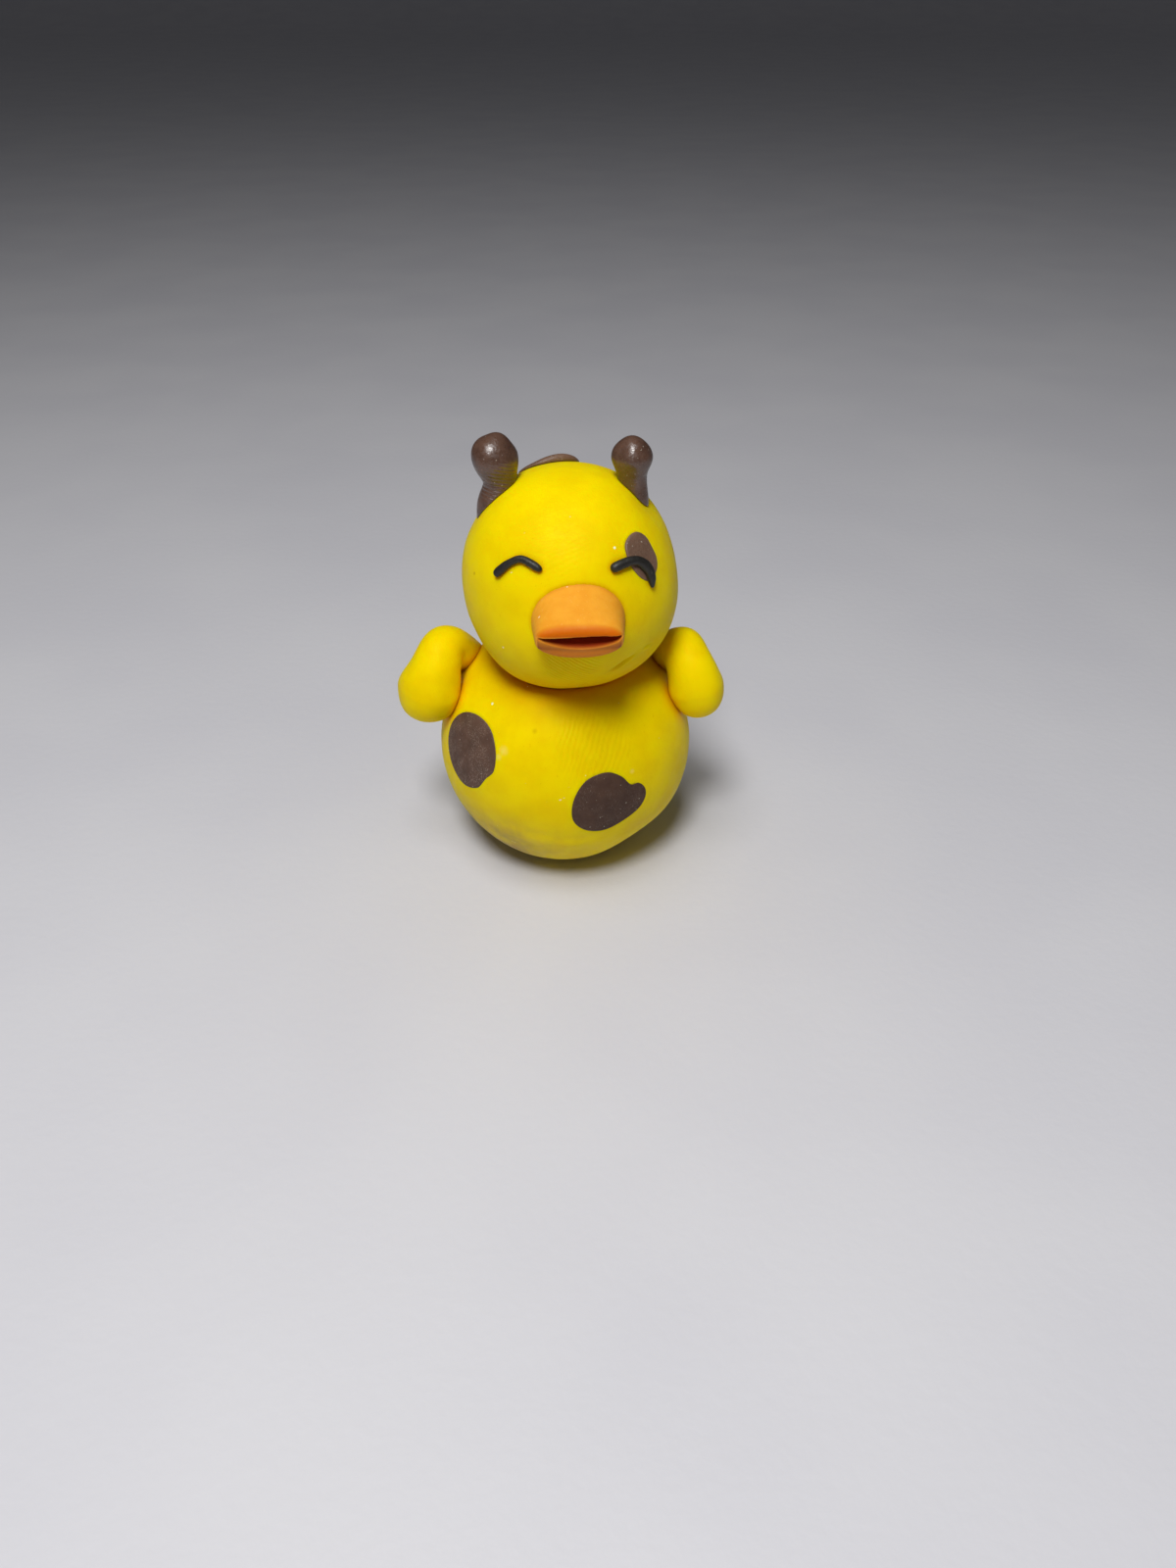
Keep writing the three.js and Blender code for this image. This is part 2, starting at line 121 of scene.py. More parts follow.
# Where the lip beside a crease stands and how wide it is, in widths of the crease
LIP_ASIDE = 1.3
LIP_WIDTH = 1.4


class ClayBall:
    """An egg-like round whose surface is asked for by direction, so that other lumps can sit on it."""

    def __init__(self, centre, width, rise, drop, squareness, taper, turn, marks, seed):
        self.centre = np.array(centre)
        self.half_width = width / 2
        self.rise = rise
        self.drop = drop
        self.squareness = squareness
        self.taper = taper
        self.turn = np.array(turn)
        self.marks = marks
        self.seed = seed

    def reach(self, out):
        """Distance from the centre to the surface along unit vectors."""
        own = out @ self.turn
        across = self.half_width * (1 - self.taper * own[:, 2])
        along = np.where(own[:, 2] > 0, self.rise, self.drop)
        power = self.squareness
        total = (
            np.abs(own[:, 0] / across) ** power
            + np.abs(own[:, 1] / across) ** power
            + np.abs(own[:, 2] / along) ** power
        )
        reach = total ** (-1 / power)
        for mark in self.marks:
            reach = reach + mark(own)
        place = out * self.half_width
        reach = reach + COARSE_SWELL * lumps(place, COARSE_SIZE, self.seed)
        return reach + FINE_SWELL * lumps(place, FINE_SIZE, self.seed + 1)

    def outward(self, azimuth, elevation):
        return direction(azimuth, elevation) @ self.turn.T

    def point(self, azimuth, elevation, height=0.0):
        out = self.outward(azimuth, elevation)
        return self.centre + out * (self.reach(out[None])[0] + height)

    def height(self, points):
        """Height of points over the surface."""
        away = points - self.centre
        far = np.linalg.norm(away, axis=1)
        return far - self.reach(away / far[:, None])

    def press(self, points, gap, softness):
        """Pushes points that lie inside the ball out to its surface, with a soft rim."""
        away = points - self.centre
        far = np.linalg.norm(away, axis=1)
        out = away / far[:, None]
        surface = self.reach(out) + gap
        return self.centre + out * soft_max(far, surface, softness)[:, None]


def soft_max(a, b, softness):
    return 0.5 * (a + b + np.sqrt((a - b) ** 2 + softness**2))


def soft_min(a, b, softness):
    return 0.5 * (a + b - np.sqrt((a - b) ** 2 + softness**2))


def dent(azimuth, elevation, spread, depth):
    """Round hollow, or a swelling where the depth is negative."""
    aim = direction(azimuth, elevation)

    def mark(own):
        apart = np.degrees(np.arccos(np.clip(own @ aim, -1, 1)))
        return -depth * np.exp(-((apart / spread) ** 2))

    return mark


def crease(places, width, depth, lip):
    """Groove along places on a ball, with a raised lip on its right. The width is in degrees."""
    ends = direction(*np.array(places, float).T)

    def mark(own):
        nearest = np.full(len(own), np.inf)
        along = np.zeros(len(own))
        aside = np.zeros(len(own))
        for i in range(len(ends) - 1):
            a, b = ends[i], ends[i + 1]
            share = np.clip((own - a) @ (b - a) / ((b - a) @ (b - a)), 0, 1)
            apart = np.linalg.norm(own - (a + share[:, None] * (b - a)), axis=1)
            closer = apart < nearest
            nearest = np.where(closer, apart, nearest)
            along = np.where(closer, (i + share) / (len(ends) - 1), along)
            aside = np.where(closer, own @ unit(np.cross(b, a)), aside)
        apart = np.degrees(nearest) / width
        lip_apart = (np.degrees(aside) / width - LIP_ASIDE) / LIP_WIDTH
        fade = np.sin(math.pi * np.clip(along, 0.02, 0.98)) ** 0.7
        fade = fade * np.exp(-((apart / 4) ** 4))
        return fade * (lip * np.exp(-(lip_apart**2)) - depth * np.exp(-(apart**2)))

    return mark


def turned(tip, lean_back):
    """Rotation of a ball that is tipped to the side and leans back."""
    return np.array(
        Euler((0, math.radians(-tip), 0)).to_matrix()
        @ Euler((math.radians(-lean_back), 0, 0)).to_matrix()
    )


body_ball = ClayBall(
    centre=(0, 0, 12.2),
    width=25,
    rise=12.1,
    drop=12.8,
    squareness=2,
    taper=0.025,
    turn=np.eye(3),
    marks=[
        dent(34, 36, spread=19, depth=0.75),
        dent(48, -45, spread=16, depth=0.48),
        crease([(-32, -13.6), (-11, -19), (6.6, -21), (18, -18.7)], width=2.8, depth=0.09, lip=0.08),
        dent(-17, 12, spread=2.2, depth=0.08),
    ],
    seed=1,
)
head_ball = ClayBall(
    centre=(0.55, -2.2, 30.6),
    width=19.6,
    rise=9.95,
    drop=10.15,
    squareness=2.15,
    taper=0.05,
    turn=turned(5.5, 12),
    marks=[
        dent(42, -38, spread=15, depth=0.35),
        dent(-84, -24, spread=24, depth=0.36),
        dent(78, 40, spread=13, depth=0.4),
        dent(-82, 42, spread=9, depth=0.3),
        crease([(25.5, -47), (35, -42), (44.5, -37.8)], width=1.1, depth=0.3, lip=0.2),
        crease([(48.5, -35.3), (55.5, -33.2)], width=1.0, depth=0.18, lip=0.12),
    ],
    seed=5,
)


# Meshes


def make_mesh(name, points, faces):
    """Object in metres, with smooth shading, from points in millimetres."""
    mesh = bpy.data.meshes.new(name)
    mesh.from_pydata((np.asarray(points) * MM).tolist(), [], [list(map(int, f)) for f in faces])
    mesh.validate()
    mesh.shade_smooth()
    piece = bpy.data.objects.new(name, mesh)
    bpy.context.scene.collection.objects.link(piece)
    return piece


def add_values(piece, name, values):
    """Stores a number at each vertex, for the material to read."""
    layer = piece.data.attributes.new(name, "FLOAT", "POINT")
    layer.data.foreach_set("value", np.asarray(values, np.float32))


def icosphere(subdivisions):
    """Unit vectors and triangles of a fine even ball."""
    made = bmesh.new()
    bmesh.ops.create_icosphere(made, subdivisions=subdivisions, radius=1)
    made.verts.ensure_lookup_table()
    out = unit(np.array([v.co for v in made.verts]))
    faces = [[v.index for v in f.verts] for f in made.faces]
    made.free()
    return out, faces


def skin_faces(rings, sides):
    """Faces of a closed surface: first point, rings, last point."""
    faces = []
    last = 1 + rings * sides
    for j in range(sides):
        k = (j + 1) % sides
        faces.append((0, 1 + k, 1 + j))
        for i in range(rings - 1):
            near = 1 + i * sides
            far = near + sides
            faces.append((near + j, near + k, far + k, far + j))
        end = 1 + (rings - 1) * sides
        faces.append((last, end + j, end + k))
    return faces


def limb_points(spine, widths, side, steps, sides, bluntness, thickness=1.0, round_start=False):
    """Rolled limb along a smooth spine: its last end is round, its first blunt or round too."""
    step = (np.arange(steps) + 0.5) / steps
    shares = 0.5 - 0.5 * np.cos(math.pi * step) if round_start else np.sin(math.pi / 2 * step)
    to_end = np.abs(2 * shares - 1) if round_start else shares
    half = widths_at(widths, shares) / 2 * np.sqrt(1 - to_end**bluntness)
    centre = curve_points(spine, shares)
    nudge = 1e-3
    ahead = curve_points(spine, np.minimum(shares + nudge, 1))
    behind = curve_points(spine, np.maximum(shares - nudge, 0))
    along = unit(ahead - behind)
    side = np.asarray(side, float)
    across = unit(side - (along @ side)[:, None] * along)
    through = np.cross(along, across)
    angle = 2 * math.pi * np.arange(sides) / sides
    ring = (
        centre[:, None]
        + across[:, None] * (half[:, None] * np.cos(angle))[:, :, None]
        + through[:, None] * (half[:, None] * thickness * np.sin(angle))[:, :, None]
    )
    ends = curve_points(spine, [0, 1])
    points = np.concatenate([ends[:1], ring.reshape(-1, 3), ends[1:]])
    return points, skin_faces(steps, sides)


# Patches let into the clay


FACE_RINGS = 26
# Rings of a patch's hidden back: their share of its outline, and their height in thicknesses
BACK_RINGS = ((1, -0.5), (0.98, -0.8), (0.9, -1), (0.5, -1))


class Patch:
    """Disc of darker clay on a ball. Its outline is in shares of its width from its middle."""

    def __init__(self, ball, azimuth, elevation, width, outline):
        self.ball = ball
        self.out = ball.outward(azimuth, elevation)
        up = ball.turn @ UP
        self.up = unit(up - (up @ self.out) * self.out)
        self.across = np.cross(self.up, self.out)
        self.middle = ball.point(azimuth, elevation)
        self.outline = np.array(outline) * width
        fine = curve_points(self.outline, np.linspace(0, 1, 400, endpoint=False), closed=True)
        self.fine_angle = np.arctan2(fine[:, 1], fine[:, 0])
        order = np.argsort(self.fine_angle)
        self.fine_angle = self.fine_angle[order]
        self.fine_far = np.linalg.norm(fine, axis=1)[order]

    def edge(self, angle):
        return np.interp(angle, self.fine_angle, self.fine_far, period=2 * math.pi)

    def share(self, out):
        """Share of the way from the middle to the outline, for directions from the ball's centre."""
        middle = self.middle - self.ball.centre
        toward = out @ self.out
        scale = (middle @ self.out) / np.maximum(toward, 1e-3)
        flat = out * scale[:, None] - middle
        x = flat @ self.across
        y = flat @ self.up
        far = np.hypot(x, y) / self.edge(np.arctan2(y, x))
        return np.where(toward > 0.3, far, np.inf)

    def lift(self, x, y, height):
        place = self.middle + x[:, None] * self.across + y[:, None] * self.up
        away = unit(place - self.ball.centre)
        return self.ball.centre + away * (self.ball.reach(away) + height)[:, None]

    def points(self, rise, rim, thickness, sides=160):
        """Disc with a soft edge. Its face stands proud by rise and its edge rolls over within rim."""
        width = self.fine_far.mean()
        angle = 2 * math.pi * np.arange(sides) / sides
        far = self.edge(angle)
        x, y = far * np.cos(angle), far * np.sin(angle)
        shares = list(np.linspace(0.04, 1 - rim / width, FACE_RINGS))
        heights = [rise] * FACE_RINGS
        for turn in np.linspace(10, 90, 9):
            shares.append(1 - rim / width * (1 - math.sin(math.radians(turn))))
            heights.append(rise - rim * 0.9 * (1 - math.cos(math.radians(turn))))
        for share, height in BACK_RINGS:
            shares.append(share)
            heights.append(height * thickness)
        rings = [self.lift(x * s, y * s, np.full(sides, h)) for s, h in zip(shares, heights)]
        zero = np.zeros(1)
        first = self.lift(zero, zero, np.full(1, heights[0]))
        last = self.lift(zero, zero, np.full(1, heights[-1]))
        return np.concatenate([first, *rings, last]), skin_faces(len(rings), sides)


chest_patch = Patch(
    body_ball,
    azimuth=-47,
    elevation=14,
    width=8.1,
    outline=[
        (-0.03, 0.47),
        (0.22, 0.39),
        (0.38, 0.16),
        (0.4, -0.08),
        (0.31, -0.2),
        (0.26, -0.28),
        (0.19, -0.38),
        (-0.03, -0.46),
        (-0.26, -0.4),
        (-0.46, -0.24),
        (-0.57, -0.02),
        (-0.53, 0.22),
        (-0.34, 0.4),
    ],
)
belly_patch = Patch(
    body_ball,
    azimuth=20,
    elevation=-1,
    width=7.8,
    outline=[
        (-0.01, 0.42),
        (0.18, 0.32),
        (0.31, 0.17),
        (0.42, 0.16),
        (0.52, 0.06),
        (0.54, -0.06),
        (0.47, -0.2),
        (0.24, -0.34),
        (-0.08, -0.44),
        (-0.32, -0.37),
        (-0.46, -0.2),
        (-0.45, 0.1),
        (-0.28, 0.36),
    ],
)
eye_patch = Patch(
    head_ball,
    azimuth=45,
    elevation=15,
    width=3.3,
    outline=[
        (0.03, 0.64),
        (0.27, 0.49),
        (0.4, 0.15),
        (0.48, -0.16),
        (0.4, -0.42),
        (0.03, -0.66),
        (-0.32, -0.44),
        (-0.52, 0.02),
        (-0.49, 0.4),
        (-0.25, 0.6),
    ],
)
crown_patch = Patch(
    head_ball,
    azimuth=-163,
    elevation=69,
    width=5.8,
    outline=[
        (0, 0.46),
        (0.34, 0.36),
        (0.5, 0),
        (0.36, -0.36),
        (0, -0.47),
        (-0.35, -0.36),
        (-0.5, 0),
        (-0.35, 0.35),
    ],
)

# Balls, with hollows under what is pressed into them
SEAT = 0.04
SEAT_ROUNDING = 0.35
BODY_SOCKET = 0.6
HEAD_SOCKET = 0.5
SOCKET_RIM = 0.05
# Where a socket's rim and the top and foot of its wall are, in shares of the patch's outline
RIM_AT = 1.07
RIM_SPREAD = 0.05
WALL_TOP = 0.96
WALL_FOOT = 0.8
# Longer than any way from the body's centre to its surface
FAR = 40.0
# The way to the head is sought in steps up to a length, and then by halving the step
SEARCH_LENGTH = 24
SEARCH_STEPS = 60
HALVINGS = 12
ball_out, ball_faces = icosphere(7)


def hollow(reach, out, patch, depth):
    """Sinks the clay under a patch, and swells it a little round the patch's edge."""
    share = patch.share(out)
    rim = SOCKET_RIM * np.exp(-(((share - RIM_AT) / RIM_SPREAD) ** 2))
    return reach + rim - depth * smoothstep(WALL_TOP, WALL_FOOT, share)


def way_to_head(out):
    """Way from the body's centre to the head along unit vectors, or far where they miss it."""
    low = np.zeros(len(out))
    high = np.full(len(out), FAR)
    for way in np.linspace(0, SEARCH_LENGTH, SEARCH_STEPS)[1:]:
        inside = head_ball.height(body_ball.centre + out * way) < SEAT
        high = np.where(inside & (high == FAR), way, high)
        low = np.where(high == FAR, way, low)
    hits = high < FAR
    for _ in range(HALVINGS):
        middle = (low + high) / 2
        inside = head_ball.height(body_ball.centre + out * middle[:, None]) < SEAT
        high = np.where(hits & inside, middle, high)
        low = np.where(hits & ~inside, middle, low)
    return np.where(hits, low, FAR)


def body_points():
    """The body's ball, with sockets for its patches and the head, pressed flat on the floor."""
    reach = body_ball.reach(ball_out)
    for patch in (chest_patch, belly_patch):
        reach = hollow(reach, ball_out, patch, BODY_SOCKET)
    reach = soft_min(reach, way_to_head(ball_out), SEAT_ROUNDING)
    points = body_ball.centre + ball_out * reach[:, None]
    points[:, 2] = np.maximum(points[:, 2], 0)
    return points


def head_points():
    reach = hollow(head_ball.reach(ball_out), ball_out, eye_patch, HEAD_SOCKET)
    return head_ball.centre + ball_out * reach[:, None]


# Materials


def srgb(red, green, blue):
    """Linear colour of an sRGB one in 0 to 255."""
    linear = []
    for value in (red, green, blue):
        v = value / 255
        linear.append(v / 12.92 if v <= 0.04045 else ((v + 0.055) / 1.055) ** 2.4)
    return (*linear, 1.0)


class Paint:
    """Small helper that builds a material's nodes."""

    def __init__(self, name):
        self.material = bpy.data.materials.new(name)
        self.material.use_nodes = True
        self.tree = self.material.node_tree
        self.nodes = self.tree.nodes
        self.shader = self.nodes["Principled BSDF"]
        coordinates = self.nodes.new("ShaderNodeTexCoord")
        scaled = self.nodes.new("ShaderNodeVectorMath")
        scaled.operation = "SCALE"
        scaled.inputs["Scale"].default_value = 1 / MM
        self.link(coordinates.outputs["Object"], scaled.inputs[0])
        self.place = scaled.outputs[0]

    def link(self, source, target):
        self.tree.links.new(source, target)

    def feed(self, target, value):
        if isinstance(value, bpy.types.NodeSocket):
            self.link(value, target)
        else:
            target.default_value = value

    def math(self, operation, *values):
        node = self.nodes.new("ShaderNodeMath")
        node.operation = operation
        for target, value in zip(node.inputs, values):
            self.feed(target, value)
        return node.outputs[0]

    def noise(self, size, detail=2.0, roughness=0.5, place=None):
        """Random lumps from 0 to 1, of a size in millimetres."""
        node = self.nodes.new("ShaderNodeTexNoise")
        self.link(place or self.place, node.inputs["Vector"])
        node.inputs["Scale"].default_value = 1 / size
        node.inputs["Detail"].default_value = detail
        node.inputs["Roughness"].default_value = roughness
        return node.outputs["Fac"]

    def ramp(self, value, low, high, to_low=0.0, to_high=1.0):
        """Smooth step of a value between low and high, from one number to another."""
        node = self.nodes.new("ShaderNodeMapRange")
        node.interpolation_type = "SMOOTHSTEP"
        for target, number in zip(node.inputs, (value, low, high, to_low, to_high)):
            self.feed(target, number)
        return node.outputs[0]

    def mix(self, share, first, second):
        """Colour between two others. Sockets 6 and 7 take colours, and output 2 gives one."""
        node = self.nodes.new("ShaderNodeMix")
        node.data_type = "RGBA"
        self.feed(node.inputs[0], share)
        self.feed(node.inputs[6], first)
        self.feed(node.inputs[7], second)
        return node.outputs[2]

    def attribute(self, name):
        node = self.nodes.new("ShaderNodeAttribute")
        node.attribute_name = name
        return node.outputs["Fac"]

    def stretched(self, scale):
        """Coordinates stretched along each axis, for streaks."""
        node = self.nodes.new("ShaderNodeMapping")
        node.inputs["Scale"].default_value = scale
        self.link(self.place, node.inputs["Vector"])
        return node.outputs[0]

    def bump(self, height, strength, depth, before=None):
        """Relief of a depth in millimetres, on top of the one before."""
        node = self.nodes.new("ShaderNodeBump")
        node.inputs["Strength"].default_value = strength
        node.inputs["Distance"].default_value = depth * MM
        self.link(height, node.inputs["Height"])
        if before:
            self.link(before, node.inputs["Normal"])
        return node.outputs[0]

    def near(self, centre, radius, fade):
        """1 near a point, falling to 0 beyond a radius."""
        node = self.nodes.new("ShaderNodeVectorMath")
        node.operation = "DISTANCE"
        self.link(self.place, node.inputs[0])
        node.inputs[1].default_value = centre
        return self.ramp(node.outputs["Value"], radius, radius + fade, to_low=1.0, to_high=0.0)

    def finger(self, mark):
        """Ridges that a finger left, in a round print with a soft rim."""
        node = self.nodes.new("ShaderNodeVectorMath")
        node.operation = "DOT_PRODUCT"
        self.link(self.place, node.inputs[0])
        node.inputs[1].default_value = tuple(unit(np.array(mark["along"], float)))
        wander = self.math("MULTIPLY", self.noise(2.6, detail=1.0), mark["bend"])
        phase = self.math("ADD", node.outputs["Value"], wander)
        wave = self.math("SINE", self.math("MULTIPLY", phase, 2 * math.pi / mark["pitch"]))
        near = self.near(mark["centre"], mark["radius"], mark["fade"])
        return self.math("MULTIPLY", wave, self.math("MULTIPLY", near, mark["strength"]))

    def total(self, *values):
        made = values[0]
        for value in values[1:]:
            made = self.math("ADD", made, value)
        return made

    def finish(self, color, roughness, normal, soft, radius, scale):
        """Joins everything to the shader. Light spreads in the clay by a share, radii and a scale."""
        shader = self.shader
        self.feed(shader.inputs["Base Color"], color)
        self.feed(shader.inputs["Roughness"], roughness)
        self.link(normal, shader.inputs["Normal"])
        shader.inputs["Subsurface Weight"].default_value = soft
        shader.inputs["Subsurface Radius"].default_value = radius
        shader.inputs["Subsurface Scale"].default_value = scale * MM
        return self.material


YELLOW = srgb(243, 216, 0)
DEEP_YELLOW = srgb(237, 206, 0)
YELLOW_SPECK = srgb(214, 172, 0)
YELLOW_DUST = srgb(250, 238, 190)
YELLOW_SHINE = srgb(255, 226, 110)
# Partly a dull dusty film, partly painted shade and floor reflection: greyish colour mixed in low on
# the body
DULL_FILM_AND_SHADE = srgb(162, 136, 86)
# Painted shade: orange laid into the yellow clay in creases, under the head, on the chin and at the
# wing roots
PAINTED_SHADE_ORANGE = srgb(214, 132, 0)
WHITE_FLECK = srgb(255, 246, 214)
PALE_SMUDGE = srgb(244, 220, 120)
DARK_NICK = srgb(184, 132, 0)


def yellow_clay(name, prints, flecks=()):
    """Waxy yellow clay, mottled, with painted orange shade in its creases, a dull film that is partly
    painted shade and floor reflection, finger prints and flecks.
    """
    paint = Paint(name)
    mottle = paint.noise(3.2, detail=3.0, roughness=0.55)
    color = paint.mix(paint.ramp(mottle, 0.35, 0.7), YELLOW, DEEP_YELLOW)
    speck = paint.noise(0.22, detail=2.0, roughness=0.6)
    color = paint.mix(paint.ramp(speck, 0.66, 0.78, to_high=0.45), color, YELLOW_SPECK)
    # The film attribute is partly a dull film and partly painted shade and floor reflection low on the
    # body
    film = paint.math("MULTIPLY", paint.attribute("film"), paint.ramp(mottle, 0.3, 0.65, to_low=0.35))
    color = paint.mix(film, color, DULL_FILM_AND_SHADE)
    # Painted shade in creases and under lumps, read from the crease attribute
    color = paint.mix(paint.attribute("crease"), color, PAINTED_SHADE_ORANGE)
    dust = paint.ramp(paint.noise(0.55, detail=1.0, roughness=0.4), 0.8, 0.84, to_high=0.8)
    color = paint.mix(dust, color, YELLOW_DUST)
    for centre, radius, fade, amount, tint in flecks:
        spot = paint.math("MULTIPLY", paint.near(centre, radius, fade), amount)
        color = paint.mix(spot, color, tint)
    fine = paint.noise(0.16, detail=3.0, roughness=0.6)
    pits = paint.noise(0.7, detail=2.0, roughness=0.5)
    dullness = paint.noise(0.9, detail=3.0, roughness=0.6)
    roughness = paint.ramp(dullness, 0.3, 0.7, to_low=0.42, to_high=0.58)
    normal = paint.bump(pits, 0.35, 0.08)
    normal = paint.bump(fine, 0.3, 0.03, normal)
    if prints:
        normal = paint.bump(paint.total(*map(paint.finger, prints)), 0.6, 0.028, normal)
    paint.shader.inputs["Specular IOR Level"].default_value = 0.12
    paint.shader.inputs["Specular Tint"].default_value = YELLOW_SHINE
    return paint.finish(color, roughness, normal, soft=0.45, radius=(1.0, 0.35, 0.04), scale=1.2)


def print_at(centre, along, pitch=0.45, bend=0.8, radius=3.0, fade=2.0, strength=1.0):
    """Finger print about a place, with ridges across a direction."""
    return dict(
        along=along,
        pitch=pitch,
        bend=bend,
        centre=tuple(float(v) for v in centre),
        radius=radius,
        fade=fade,
        strength=strength,
    )


def printed(ball, azimuth, elevation, along, **sizes):
    """Finger print on a ball."""
    return print_at(ball.point(azimuth, elevation), along, **sizes)


def fleck(ball, azimuth, elevation, radius, fade, amount, tint):
    """Spot on a ball: a radius, a soft rim, how strong it is and its colour."""
    centre = tuple(float(v) for v in ball.point(azimuth, elevation))
    return centre, radius, fade, amount, tint


BROWN_FILM = srgb(172, 156, 140)
BROWN_SPECK = srgb(196, 184, 168)


def brown_clay(name, tones, stretch, film_amount, least_rough, shine=0.5, prints=()):
    """Brown clay of two mixed tones, with pale specks and a dusty film that is stretched to streaks."""
    paint = Paint(name)
    mottle = paint.noise(1.8, detail=3.0, roughness=0.6)
    color = paint.mix(paint.ramp(mottle, 0.3, 0.7), *tones)
    grain = paint.noise(0.11, detail=3.0, roughness=0.7, place=paint.stretched(stretch))
    film = paint.math(
        "MULTIPLY", paint.ramp(grain, 0.52, 0.74), paint.ramp(paint.noise(1.5, detail=2.0), 0.38, 0.62)
    )
    color = paint.mix(paint.math("MULTIPLY", film, film_amount), color, BROWN_FILM)
    speck = paint.ramp(paint.noise(0.26, detail=1.0, roughness=0.5), 0.74, 0.79, to_high=0.75)
    color = paint.mix(speck, color, BROWN_SPECK)
    dullness = paint.noise(0.35, detail=3.0, roughness=0.6)
    roughness = paint.ramp(dullness, 0.3, 0.7, to_low=least_rough, to_high=least_rough + 0.2)
    normal = paint.bump(paint.noise(0.5, detail=3.0, roughness=0.6), 0.5, 0.07)
    normal = paint.bump(paint.noise(0.2, detail=2.0, roughness=0.5), 0.6, 0.04, normal)
    if prints:
        normal = paint.bump(paint.total(*map(paint.finger, prints)), 0.7, 0.03, normal)
    paint.shader.inputs["Specular IOR Level"].default_value = shine
    return paint.finish(color, roughness, normal, soft=0.06, radius=(1.0, 0.5, 0.3), scale=0.5)


ORANGE = srgb(241, 167, 50)
DEEP_ORANGE = srgb(236, 157, 40)
ORANGE_SPECK = srgb(250, 190, 110)
ORANGE_DUST = srgb(255, 232, 200)
ORANGE_SHINE = srgb(255, 214, 160)
# Painted shade at the beak's root and on its lower bill
BEAK_PAINTED_SHADE = srgb(206, 108, 26)
# Painted shade on the beak's blunt front
BEAK_FRONT_PAINTED_SHADE = srgb(206, 100, 0)
# Painted shade inside the mouth
MOUTH_PAINTED_SHADE = srgb(150, 50, 20)


def orange_clay(name):
    """Pale orange clay with painted shade: deeper orange in its creases and on the lower bill, deeper
    on the beak's blunt front, and red in the mouth.
    """
    paint = Paint(name)
    mottle = paint.noise(1.6, detail=3.0, roughness=0.6)
    color = paint.mix(paint.ramp(mottle, 0.3, 0.7), ORANGE, DEEP_ORANGE)
    speck = paint.ramp(paint.noise(0.2, detail=2.0, roughness=0.6), 0.64, 0.74, to_high=0.5)
    color = paint.mix(speck, color, ORANGE_SPECK)
    # Painted shade at the beak's root and on the lower bill
    color = paint.mix(paint.attribute("crease"), color, BEAK_PAINTED_SHADE)
    # Painted shade on the blunt front
    color = paint.mix(paint.attribute("front"), color, BEAK_FRONT_PAINTED_SHADE)
    # Painted shade in the mouth
    color = paint.mix(paint.attribute("mouth"), color, MOUTH_PAINTED_SHADE)
    dust = paint.ramp(paint.noise(0.6, detail=1.0, roughness=0.4), 0.8, 0.84, to_high=0.8)
    color = paint.mix(dust, color, ORANGE_DUST)
    dullness = paint.noise(0.4, detail=3.0, roughness=0.6)
    roughness = paint.ramp(dullness, 0.3, 0.7, to_low=0.45, to_high=0.6)
    normal = paint.bump(paint.noise(0.6, detail=3.0, roughness=0.6), 0.35, 0.06)
    normal = paint.bump(paint.noise(0.13, detail=3.0, roughness=0.7), 0.4, 0.025, normal)
    paint.shader.inputs["Specular IOR Level"].default_value = 0.25
    paint.shader.inputs["Specular Tint"].default_value = ORANGE_SHINE
    return paint.finish(color, roughness, normal, soft=0.2, radius=(1.0, 0.4, 0.12), scale=0.6)


BLACK = srgb(24, 22, 18)
PALER_BLACK = srgb(35, 33, 28)
BLACK_SPECK = srgb(120, 116, 104)


def black_clay(name):
    """Black clay coil with a fine leathery surface."""
    paint = Paint(name)
    mottle = paint.noise(0.7, detail=3.0, roughness=0.6)
    color = paint.mix(paint.ramp(mottle, 0.35, 0.7), BLACK, PALER_BLACK)
    speck = paint.ramp(paint.noise(0.2, detail=1.0, roughness=0.5), 0.73, 0.78, to_high=0.6)
    color = paint.mix(speck, color, BLACK_SPECK)
    dullness = paint.noise(0.25, detail=3.0, roughness=0.6)
    roughness = paint.ramp(dullness, 0.3, 0.7, to_low=0.42, to_high=0.6)
    normal = paint.bump(paint.noise(0.16, detail=3.0, roughness=0.6), 0.7, 0.05)
    return paint.finish(color, roughness, normal, soft=0.03, radius=(1.0, 0.6, 0.4), scale=0.3)


def piece_of(name, points, faces, material):
    """Makes the piece that stands for the CAD node of the same name, and puts it on the part's body."""
    piece = make_mesh(name + "_clay", points, faces)
    piece.data.materials.append(material)
    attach(piece, "root")
    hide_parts(name)
    return piece


# Body and head
body = body_points()
head = head_points()
yellow_body = yellow_clay(
    "yellow_clay_body",
    [
        printed(body_ball, 14, 24, (1, -0.1, -0.28), pitch=0.5, radius=2.4, fade=2.6, strength=0.62),
        printed(body_ball, 120, 10, (0.2, 1, 0.3), radius=3.5),
        printed(body_ball, -160, 25, (1, 0.2, 0.5), radius=4),
    ],
    [
        fleck(body_ball, -14.4, 32.4, radius=0.02, fade=0.35, amount=0.3, tint=DARK_NICK),
        fleck(body_ball, -28.5, 21.4, radius=0.05, fade=0.6, amount=0.4, tint=PALE_SMUDGE),
        fleck(body_ball, -30.5, 18, radius=0.05, fade=0.4, amount=0.35, tint=PALE_SMUDGE),
        fleck(body_ball, -43.7, 38.6, radius=0.05, fade=0.12, amount=0.9, tint=WHITE_FLECK),
        fleck(body_ball, 32, 10.8, radius=0.05, fade=0.3, amount=0.4, tint=PALE_SMUDGE),
    ],
)
